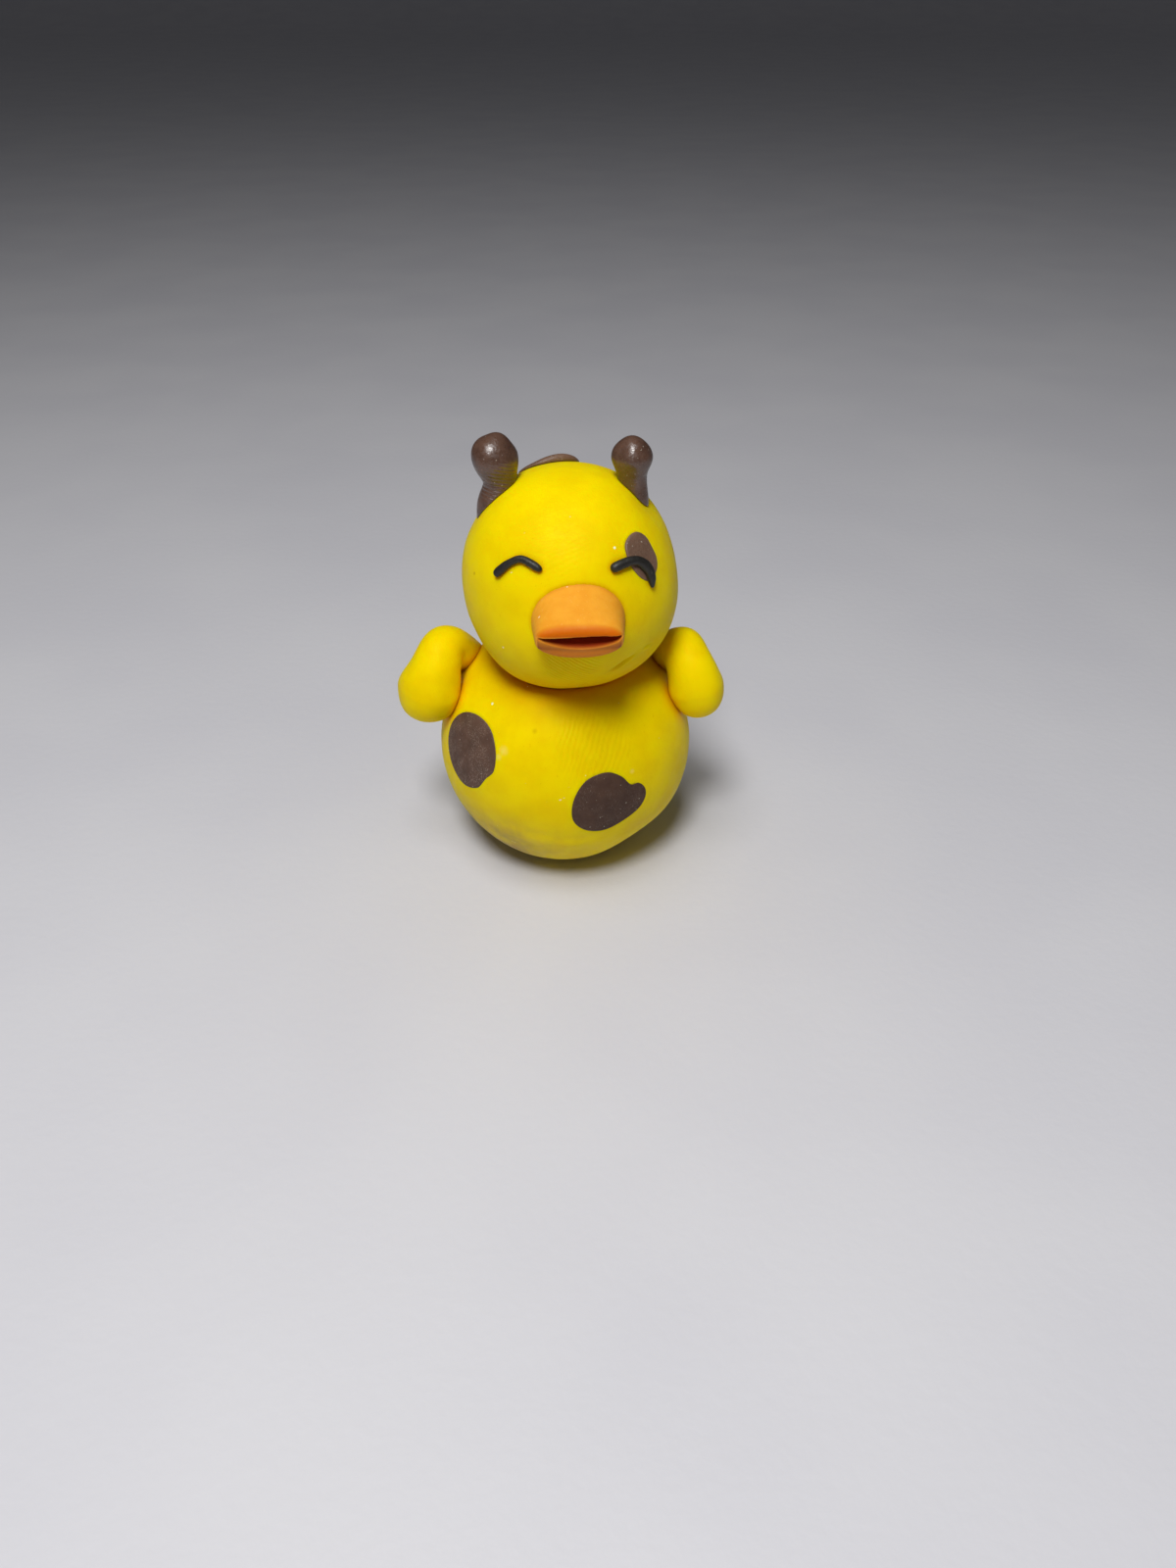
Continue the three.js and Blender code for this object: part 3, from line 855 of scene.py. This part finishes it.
yellow_head = yellow_clay(
    "yellow_clay_head",
    [
        printed(head_ball, -1, 27, (-0.42, 0.57, 0.7), pitch=0.42, radius=1.5, fade=2.5, strength=0.2),
        printed(head_ball, -1, -37, (0.64, -0.46, 0.62), pitch=0.32, bend=0.3, radius=1.8, fade=1.2),
        printed(head_ball, 175, 15, (1, 0, 0.5), radius=4, fade=2.5),
    ],
    [
        fleck(head_ball, 28.9, 22, radius=0.07, fade=0.08, amount=1.0, tint=WHITE_FLECK),
        fleck(head_ball, -38.9, -23.9, radius=0.05, fade=0.08, amount=0.8, tint=WHITE_FLECK),
        fleck(head_ball, -52.9, 12.7, radius=0.05, fade=0.16, amount=0.6, tint=DARK_NICK),
    ],
)
yellow_wing = yellow_clay("yellow_clay_wings", [])

body_piece = piece_of("body", body, ball_faces, yellow_body)
head_piece = piece_of("head", head, ball_faces, yellow_head)


# Lumps pressed onto the balls


def scratch_object(name, points, faces):
    """Closed object in millimetres, for cutting."""
    mesh = bpy.data.meshes.new(name)
    mesh.from_pydata(points.tolist(), [], [list(map(int, f)) for f in faces])
    edit = bmesh.new()
    edit.from_mesh(mesh)
    bmesh.ops.recalc_face_normals(edit, faces=edit.faces)
    edit.to_mesh(mesh)
    edit.free()
    made = bpy.data.objects.new(name, mesh)
    bpy.context.scene.collection.objects.link(made)
    return made


def ball_cutter(ball):
    out, faces = icosphere(6)
    points = ball.centre + out * (ball.reach(out) + SEAT)[:, None]
    return scratch_object("ball_cutter", points, faces)


def moulded(points, faces, cutters, grain, smoothing):
    """Cuts a lump, makes it again of even faces and softens its edges. Gives its points and faces."""
    lump = scratch_object("lump", points, faces)
    for cutter in cutters:
        cut = lump.modifiers.new("cut", "BOOLEAN")
        cut.operation = "DIFFERENCE"
        cut.solver = "EXACT"
        cut.object = cutter
    even = lump.modifiers.new("even", "REMESH")
    even.mode = "VOXEL"
    even.voxel_size = grain
    soft = lump.modifiers.new("soft", "SMOOTH")
    soft.factor = 0.5
    soft.iterations = smoothing
    graph = bpy.context.evaluated_depsgraph_get()
    made = lump.evaluated_get(graph).to_mesh()
    new_points = np.array([v.co for v in made.vertices])
    new_faces = [list(p.vertices) for p in made.polygons]
    lump.evaluated_get(graph).to_mesh_clear()
    discard(lump)
    return new_points, new_faces


def discard(piece):
    mesh = piece.data
    bpy.data.objects.remove(piece)
    bpy.data.meshes.remove(mesh)


def swollen(points, amount, size, seed):
    """Uneven surface, as a hand leaves it."""
    return points + amount * lumps(points, size, seed)[:, None] * unit(points - points.mean(axis=0))


body_cutter = ball_cutter(body_ball)
head_cutter = ball_cutter(head_ball)

# Wings
WING_AZIMUTH = 78.5
WING_TOP = 42
WING_STEM = 4.2
WING_ROOT_BACK = 27
WING_ROOT_FALL = 9
WING_ROOT_DEPTH = 1.5


def wing(side, tip, stand_off, lobe_width):
    """Bent drop: its thin end is on the body behind the shoulder, its fat end hangs beside the body.

    The side is -1 for the right and 1 for the left, and the tip is the elevation of its lowest point.
    """

    def at(back, fall, stand):
        azimuth = side * (WING_AZIMUTH + back)
        return body_ball.point(azimuth, WING_TOP + (tip - WING_TOP) * fall, stand * stand_off)

    root_azimuth = side * (WING_AZIMUTH + WING_ROOT_BACK)
    root = body_ball.point(root_azimuth, WING_TOP - WING_ROOT_FALL, -WING_ROOT_DEPTH)
    stem = [root, at(22, 0.15, 0.2), at(16, 0.04, 0.6)]
    lobe = [
        at(9, 0, 0.98),
        at(2, 0.15, 1.02),
        at(0, 0.41, 0.88),
        at(0, 0.58, 0.78),
        at(0.5, 1, 0.65),
    ]
    swelling = (0, 0.13, 0.51, 0.81, 1.05)
    widths = [WING_STEM] * 3 + [WING_STEM + (lobe_width - WING_STEM) * s for s in swelling]
    points, faces = limb_points(
        stem + lobe, widths, (side, 0, 0.3), steps=110, sides=96, bluntness=11, thickness=0.92
    )
    points = swollen(points, 0.16, size=3, seed=9 + side)
    return moulded(points, faces, (body_cutter, head_cutter), grain=0.085, smoothing=5)


right_wing, right_wing_faces = wing(-1, tip=14, stand_off=3.2, lobe_width=7.4)
left_wing, left_wing_faces = wing(1, tip=16, stand_off=3, lobe_width=6.2)
right_wing_piece = piece_of("right_wing", right_wing, right_wing_faces, yellow_wing)
left_wing_piece = piece_of("left_wing", left_wing, left_wing_faces, yellow_wing)


# Horns
HORN_ROOT = -3.6
HORN_FOOT = -0.6
HORN_NECK = 1.4
HORN_BULB_SHARE = 0.66


def horn(place, asides, widths, height, seed):
    """Upright horn with a bulb, from its root in the head to its top over a place on the head.

    It stands aside and is wide by numbers at its root, foot, neck, bulb and top.
    """
    levels = (HORN_ROOT, HORN_FOOT, HORN_NECK, HORN_BULB_SHARE * height, height)
    spine = [place + np.array([aside, 0, level]) for aside, level in zip(asides, levels)]
    points, faces = limb_points(spine, widths, (1, 0, 0), steps=110, sides=88, bluntness=6)
    points = swollen(points, 0.24, size=1.8, seed=seed)
    return moulded(points, faces, (head_cutter,), grain=0.06, smoothing=12)


right_horn_place = head_ball.point(-75, 51.5)
left_horn_place = head_ball.point(78, 48)
right_horn, right_horn_faces = horn(
    right_horn_place,
    asides=(0.35, 0.55, 0.78, 0.42, 0.38),
    widths=(3.7, 3.65, 3.1, 4.4, 4.4),
    height=5.65,
    seed=21,
)
left_horn, left_horn_faces = horn(
    left_horn_place,
    asides=(0.15, 0.12, -0.05, -0.1, -0.1),
    widths=(2.5, 2.5, 2.6, 4, 4),
    height=4.7,
    seed=25,
)
right_horn_neck = right_horn_place + np.array([0.9, -1.3, 1.6])
brown_horn = brown_clay(
    "brown_clay_horns",
    (srgb(93, 65, 50), srgb(75, 51, 39)),
    stretch=(1, 1, 0.8),
    film_amount=0.15,
    least_rough=0.24,
    shine=0.9,
    prints=[
        print_at(right_horn_neck, (0.25, 0.1, 1), pitch=0.36, bend=0.5, radius=1.3, fade=1.2),
    ],
)
piece_of("right_horn", right_horn, right_horn_faces, brown_horn)
piece_of("left_horn", left_horn, left_horn_faces, brown_horn)


# Beak
BEAK_AZIMUTH = 6.3
BEAK_ELEVATION = -9
BEAK_TURN = -3
BEAK_ROOT = 1.5
BEAK_LENGTH = 3.7 + BEAK_ROOT
BEAK_SIDES = 200
# Each of these is for the beak's root and its front
BEAK_WIDTH = (8.1, 7.25)
BEAK_ABOVE = (3.7, 1.3)
BEAK_BELOW = (2.7, 1.6)
BEAK_FULLNESS = (1, 0.6)
BEAK_FULLNESS_BELOW = 0.88
BEAK_DROP = 0.4
BEAK_EDGE = 0.55
BEAK_UNDERCUT = 0.6
MOUTH_WIDTH = 7
MOUTH_DEPTH = 2.4
MOUTH_OPENING = 1.3
MOUTH_RISE = 0.6
MOUTH_BOW = 0.07
MOUTH_INSIDE = 0.6
LOWER_LIP = MOUTH_RISE - MOUTH_OPENING
beak_root = head_ball.point(BEAK_AZIMUTH, BEAK_ELEVATION, -BEAK_ROOT)
beak_forward = unit(head_ball.outward(BEAK_AZIMUTH + BEAK_TURN, 0) * np.array([1, 1, 0]))
beak_aside = np.array([-beak_forward[1], beak_forward[0], 0])


def beak_place(across, ahead, height):
    """Places from the beak's root, as arrays across it, ahead along it and up."""
    across, ahead, height = np.broadcast_arrays(across, ahead, height)
    return (
        beak_root
        + np.multiply.outer(across, beak_aside)
        + np.multiply.outer(ahead, beak_forward)
        + np.multiply.outer(height - BEAK_DROP, UP)
    )


def full_round(angle, fullness):
    """Round that is squarer the smaller its fullness is."""
    x, y = np.cos(angle), np.sin(angle)
    return np.sign(x) * np.abs(x) ** fullness, np.sign(y) * np.abs(y) ** fullness


def between(pair, share):
    return pair[0] + (pair[1] - pair[0]) * share


def beak_ring(ahead, inset):
    """Ring of the beak, rounder above at its root and squarer at its front."""
    share = ahead / BEAK_LENGTH
    half = between(BEAK_WIDTH, share) / 2 - inset
    above = between(BEAK_ABOVE, share) - inset
    below = between(BEAK_BELOW, share) - inset
    angle = 2 * math.pi * np.arange(BEAK_SIDES) / BEAK_SIDES
    top_x, top_y = full_round(angle, between(BEAK_FULLNESS, share**2))
    low_x, low_y = full_round(angle, BEAK_FULLNESS_BELOW)
    upper = np.sin(angle) > 0
    across = half * np.where(upper, top_x, low_x)
    height = np.where(upper, above * top_y, below * low_y)
    back = BEAK_UNDERCUT * smoothstep(1.1, -1.4, height) * share**3
    return beak_place(across, ahead - back, height)


def beak_lump():
    """Lump whose top slopes down to a blunt upright front."""
    rings = [beak_ring(ahead, 0) for ahead in np.linspace(0, BEAK_LENGTH - BEAK_EDGE, 50)]
    for turn in np.radians(np.linspace(10, 90, 9)):
        ahead = BEAK_LENGTH - BEAK_EDGE * (1 - math.sin(turn))
        rings.append(beak_ring(ahead, BEAK_EDGE * (1 - math.cos(turn))))
    ends = beak_place(np.zeros(2), np.array([0, BEAK_LENGTH]), np.zeros(2))
    return np.concatenate([ends[:1], *rings, ends[1:]]), skin_faces(len(rings), BEAK_SIDES)


def mouth_wedge(steps=60, past=1.0):
    """Wedge that opens the mouth: straight above, sagging below, taller and deeper on the left."""
    half = MOUTH_WIDTH / 2
    rings = []
    for across in -np.cos(math.pi * np.arange(1, steps) / steps):
        lens = math.sqrt(1 - across**2)
        back = BEAK_LENGTH - MOUTH_DEPTH * lens * (0.85 + 0.3 * across)
        sag = MOUTH_OPENING * lens * (1 + past / MOUTH_DEPTH)
        bow = MOUTH_BOW * math.sin(2.6 * across + 0.4)
        inner = 0.03 + MOUTH_INSIDE * lens * (0.6 + 0.4 * across)
        heights = np.array([-inner, 0, 0, -sag]) + MOUTH_RISE + bow
        ahead = np.array([back, back, BEAK_LENGTH + past, BEAK_LENGTH + past])
        rings.append(beak_place(half * across, ahead, heights))
    corners = beak_place(np.array([-half, half]), BEAK_LENGTH + past / 2, MOUTH_RISE)
    return np.concatenate([corners[:1], *rings, corners[1:]]), skin_faces(len(rings), 4)


mouth_cutter = scratch_object("mouth_cutter", *mouth_wedge())
beak, beak_faces = moulded(*beak_lump(), (mouth_cutter, head_cutter), grain=0.06, smoothing=5)
beak_piece = piece_of("beak", beak, beak_faces, orange_clay("orange_clay_beak"))
for cutter in (body_cutter, head_cutter, mouth_cutter):
    discard(cutter)


# Eyes
def eye_points(places, thickness, swelling, heights):
    """Thin coil laid in an arch over the head."""
    spine = [head_ball.point(*place, height) for place, height in zip(places, heights)]
    side = head_ball.outward(*places[2])
    widths = [share * thickness for share in swelling]
    points, faces = limb_points(
        spine, widths, side, steps=140, sides=40, bluntness=12, round_start=True
    )
    points = swollen(points, 0.025, size=0.5, seed=31)
    return head_ball.press(points, SEAT, softness=0.05), faces


black = black_clay("black_clay_eyes")
right_eye, eye_faces = eye_points(
    [(-35.3, 13.3), (-31.5, 16.3), (-26, 19.7), (-20.6, 21.1), (-15.1, 19), (-9.8, 15.6)],
    thickness=0.63,
    swelling=[1.3, 1.2, 1, 1, 1.1, 1.05],
    heights=[0.25] * 6,
)
left_eye, _ = eye_points(
    [(24, 12.3), (31, 13.9), (37.6, 14), (42.2, 11.2), (45.3, 6.2), (46.2, -0.7)],
    thickness=0.79,
    swelling=[1.2, 1.05, 1, 1.15, 1.1, 0.6],
    heights=[0.22, 0.28, 0.38, 0.4, 0.36, 0.25],
)
piece_of("right_eye", right_eye, eye_faces, black)
piece_of("left_eye", left_eye, eye_faces, black)


# Patches
STREAKED = (2.2, 2.2, 0.35)
PLAIN = (1, 1, 1)
brown_chest = brown_clay(
    "brown_clay_chest",
    (srgb(96, 70, 57), srgb(80, 58, 47)),
    STREAKED,
    film_amount=1.0,
    least_rough=0.5,
    shine=0.3,
)
brown_belly = brown_clay(
    "brown_clay_belly",
    (srgb(80, 56, 43), srgb(67, 46, 36)),
    STREAKED,
    film_amount=0.35,
    least_rough=0.55,
    shine=0.3,
)
brown_head = brown_clay(
    "brown_clay_head",
    (srgb(120, 90, 71), srgb(102, 76, 60)),
    PLAIN,
    film_amount=0.5,
    least_rough=0.4,
)

# Share of its height that the crown patch keeps at its sides, and where its full middle is
CROWN_SIDE = 0.3
CROWN_MIDDLE = -0.7
CROWN_SPREAD = 2.3


def thinned(points, patch):
    """The crown patch with thinner sides, lying on the head."""
    aside = (points - patch.middle) @ patch.across
    height = head_ball.height(points)
    middle = np.exp(-(((aside - CROWN_MIDDLE) / CROWN_SPREAD) ** 2))
    kept = CROWN_SIDE + (1 - CROWN_SIDE) * middle
    lower = np.where(height > 0, height * (1 - kept), 0)
    points = points - unit(points - head_ball.centre) * lower[:, None]
    return head_ball.press(points, SEAT, softness=0.02)


for name, patch, rise, rim, thickness, material in (
    ("chest_patch", chest_patch, 0.08, 0.14, 0.55, brown_chest),
    ("belly_patch", belly_patch, 0.08, 0.14, 0.55, brown_belly),
    ("eye_patch", eye_patch, 0.16, 0.2, 0.45, brown_head),
    ("crown_patch", crown_patch, 0.7, 0.45, 0.0, brown_head),
):
    points, faces = patch.points(rise, rim, thickness)
    if patch is crown_patch:
        points = thinned(points, patch)
    piece_of(name, points, faces, material)

# Numbers that the materials read: how much painted shade each place gets in creases and under lumps,
# where the dull film with painted shade and floor reflection lies, and where the painted shade of the
# beak's mouth and blunt front goes

# How far the painted shade of a crease reaches from where two lumps meet
UNDER_HEAD_REACH = 4.5
OVER_BODY_REACH = 7
BY_WING_REACH = 1.4
WING_ROOT_REACH = 1.3
FACE_REACH = 0.5

# How strong that painted shade is between yellow lumps, round the face's lumps, and at the beak's own
# root
YELLOW_PAINTED_SHADE_SHARE = 0.75
FACE_PAINTED_SHADE_SHARE = 0.7
BEAK_ROOT_PAINTED_SHADE_SHARE = 0.5

# Where the dull film, partly painted shade and floor reflection, fades in and is full: up from the
# floor, and towards the duck's front and right
FILM_AND_SHADE_HEIGHTS = (11, 4)
FILM_AND_SHADE_FRONT = (8, -4)
FILM_AND_SHADE_RIGHT = (1, -6)
FILM_AND_SHADE_ON_LEFT = 0.12


def nearness(apart, reach, power=2):
    """1 where the distance is nothing, falling to 0 at a reach."""
    return np.clip(1 - apart / reach, 0, 1) ** power


def closeness(points, others, reach):
    """1 where a point touches one of the others' points, falling to 0 at a reach."""
    tree = KDTree(len(others))
    for i, place in enumerate(others):
        tree.insert(place, i)
    tree.balance()
    apart = np.array([tree.find(p)[2] for p in points])
    return nearness(apart, reach)


wings = np.concatenate([right_wing[::4], left_wing[::4]])
# Painted shade on the body under the head and beside the wings
under_head = nearness(np.abs(head_ball.height(body)), UNDER_HEAD_REACH)
by_wings = closeness(body, wings, BY_WING_REACH)
add_values(body_piece, "crease", YELLOW_PAINTED_SHADE_SHARE * np.maximum(under_head, by_wings))
# Dull film low on the body, partly painted shade and floor reflection
film = smoothstep(*FILM_AND_SHADE_HEIGHTS, body[:, 2]) * smoothstep(*FILM_AND_SHADE_FRONT, body[:, 1])
film = film * between((FILM_AND_SHADE_ON_LEFT, 1), smoothstep(*FILM_AND_SHADE_RIGHT, body[:, 0]))
add_values(body_piece, "film", film)

on_face = np.concatenate([beak[::4], right_eye[::3], left_eye[::3]])
# Painted shade on the head's underside over the body, and round the beak and eyes
over_body = nearness(np.abs(body_ball.height(head)), OVER_BODY_REACH, 1.5)
by_face = closeness(head, on_face, FACE_REACH)
head_painted_shade = np.maximum(YELLOW_PAINTED_SHADE_SHARE * over_body, FACE_PAINTED_SHADE_SHARE * by_face)
add_values(head_piece, "crease", head_painted_shade)
add_values(head_piece, "film", np.zeros(len(head)))
for piece, points in ((right_wing_piece, right_wing), (left_wing_piece, left_wing)):
    # Painted shade at the wing roots
    by_body = nearness(body_ball.height(points), WING_ROOT_REACH)
    add_values(piece, "crease", YELLOW_PAINTED_SHADE_SHARE * by_body)
    add_values(piece, "film", np.zeros(len(points)))

beak_up = (beak - beak_root) @ UP + BEAK_DROP
behind_front = BEAK_LENGTH - (beak - beak_root) @ beak_forward
aside = np.abs((beak - beak_root) @ beak_aside)
# Painted shade at the beak's root and on the whole lower bill
by_head = nearness(head_ball.height(beak), FACE_REACH)
lower_beak = smoothstep(LOWER_LIP + 0.2, LOWER_LIP - 0.2, beak_up)
beak_painted_shade = np.maximum(BEAK_ROOT_PAINTED_SHADE_SHARE * by_head, FACE_PAINTED_SHADE_SHARE * lower_beak)
add_values(beak_piece, "crease", beak_painted_shade)
# Painted shade inside the mouth
below_lip = smoothstep(MOUTH_RISE + 0.05, MOUTH_RISE - 0.1, beak_up)
in_mouth = below_lip * smoothstep(LOWER_LIP - 0.25, LOWER_LIP + 0.2, beak_up)
in_mouth = in_mouth * smoothstep(-0.1, 0.7, behind_front) * (aside < MOUTH_WIDTH / 2 - 0.05)
add_values(beak_piece, "mouth", in_mouth)
# Painted shade on the beak's blunt front, above the mouth
above_lip = smoothstep(MOUTH_RISE - 0.1, MOUTH_RISE + 0.15, beak_up)
add_values(beak_piece, "front", smoothstep(0.75, 0.1, behind_front) * above_lip)

# Floor
FLOOR_HALF = 3.0
BEND_START = FLOOR_HALF * 0.6
BEND_RADIUS = 0.8
BACK_RISE = 2.0
floor_mesh = bpy.data.meshes.new("floor")
profile = [(-FLOOR_HALF, 0.0), (BEND_START, 0.0)]
for turn in np.radians(range(10, 91, 10)):
    profile.append((BEND_START + BEND_RADIUS * math.sin(turn), BEND_RADIUS * (1 - math.cos(turn))))
profile.append((BEND_START + BEND_RADIUS, BACK_RISE))
floor_points = [(x, y, z) for y, z in profile for x in (-FLOOR_HALF, FLOOR_HALF)]
floor_faces = [(2 * i, 2 * i + 1, 2 * i + 3, 2 * i + 2) for i in range(len(profile) - 1)]
floor_mesh.from_pydata(floor_points, [], floor_faces)
floor_mesh.shade_smooth()
floor = bpy.data.objects.new("floor", floor_mesh)
bpy.context.scene.collection.objects.link(floor)
floor_paint = Paint("pale_floor")
emboss = floor_paint.noise(1.1, detail=2.0, roughness=0.5)
cloudiness = floor_paint.ramp(floor_paint.noise(30.0, detail=2.0), 0.3, 0.7)
tone = floor_paint.mix(cloudiness, srgb(216, 215, 219), srgb(212, 211, 216))
floor_normal = floor_paint.bump(emboss, 0.25, 0.12)
floor_mesh.materials.append(
    floor_paint.finish(tone, 0.6, floor_normal, soft=0.0, radius=(1, 1, 1), scale=0.5)
)


# Light
LIGHT_AIM = Vector((0, 0, 0.02))


def area_light(name, place, size, power):
    """Round lamp that shines on the duck. Its place and size are in metres and its power in watts."""
    data = bpy.data.lights.new(name, "AREA")
    data.shape = "DISK"
    data.size = size
    data.energy = power
    lamp = bpy.data.objects.new(name, data)
    lamp.location = place
    lamp.rotation_euler = (Vector(place) - LIGHT_AIM).to_track_quat("Z", "Y").to_euler()
    bpy.context.scene.collection.objects.link(lamp)


area_light("key", (-0.0269, -0.17, 0.2657), size=0.08, power=0.58)
area_light("ceiling", (-0.05, -0.12, 0.42), size=0.2, power=0.62)

world = bpy.data.worlds.new("studio")
bpy.context.scene.world = world
world.use_nodes = True
sky = world.node_tree.nodes["Background"]
sky.inputs["Color"].default_value = srgb(236, 237, 242)
sky.inputs["Strength"].default_value = 0.07

# Camera
camera_data = bpy.data.cameras.new("camera")
camera_data.lens = 27
camera_data.sensor_width = 36
camera_data.clip_start = 0.001
camera_data.clip_end = 20
camera = bpy.data.objects.new("camera", camera_data)
camera.location = (0.00229, -0.10102, 0.07592)
camera.rotation_euler = (math.radians(55.3), 0, 0)
bpy.context.scene.collection.objects.link(camera)
bpy.context.scene.camera = camera

bpy.context.scene.view_settings.view_transform = "Standard"
